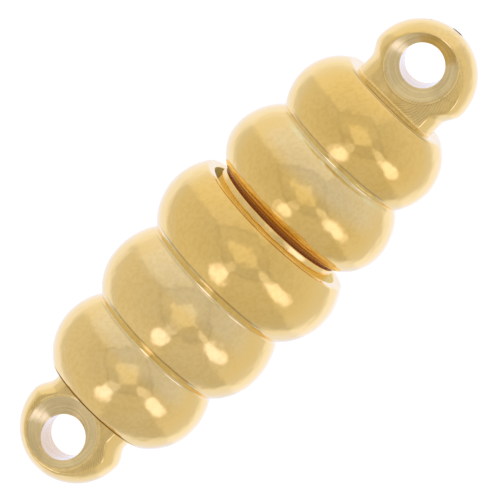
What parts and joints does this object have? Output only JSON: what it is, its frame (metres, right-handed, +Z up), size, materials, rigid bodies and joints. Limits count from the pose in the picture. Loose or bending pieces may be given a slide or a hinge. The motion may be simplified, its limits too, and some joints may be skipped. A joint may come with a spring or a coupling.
{
  "type": "magnetic clasp",
  "caption": "Gold-coloured ribbed barrel clasp in two magnetic halves, a nose that pulls out of a socket, each with a drilled eye for a jump ring.",
  "frame": {"origin": "middle of the footprint, on the surface that the clasp lies on", "axes": "+Z up; +X along the clasp from the eye of the socket half to the eye of the nose half, seen from above; the clasp's own axis rises 5.1 degrees towards +X, because it lies on its second and third ribs; +Y to the side"},
  "size_m": [0.0206, 0.007, 0.007],
  "materials": {
    "gold_plate": "polished gold plate over turned brass, with fine tool marks on the milled eyes",
    "magnet": "nickel-plated neodymium disc"
  },
  "bodies": {
    "socket_half": {"socket_shell": "gold_plate", "socket_magnet": "magnet"},
    "nose_core": {"nose_magnet": "magnet"},
    "nose_half": {"nose_shell": "gold_plate"}
  },
  "joints": [
    {"name": "pull_apart", "type": "slide", "parent": "socket_half", "child": "nose_core", "axis": [0.996, 0, 0.0892], "range_m": [0, 0.006]},
    {"name": "swivel", "type": "hinge", "parent": "nose_core", "child": "nose_half", "pos_m": [0.0013, 0, 0.0036], "axis": [0.996, 0, 0.0892], "continuous": true}
  ]
}
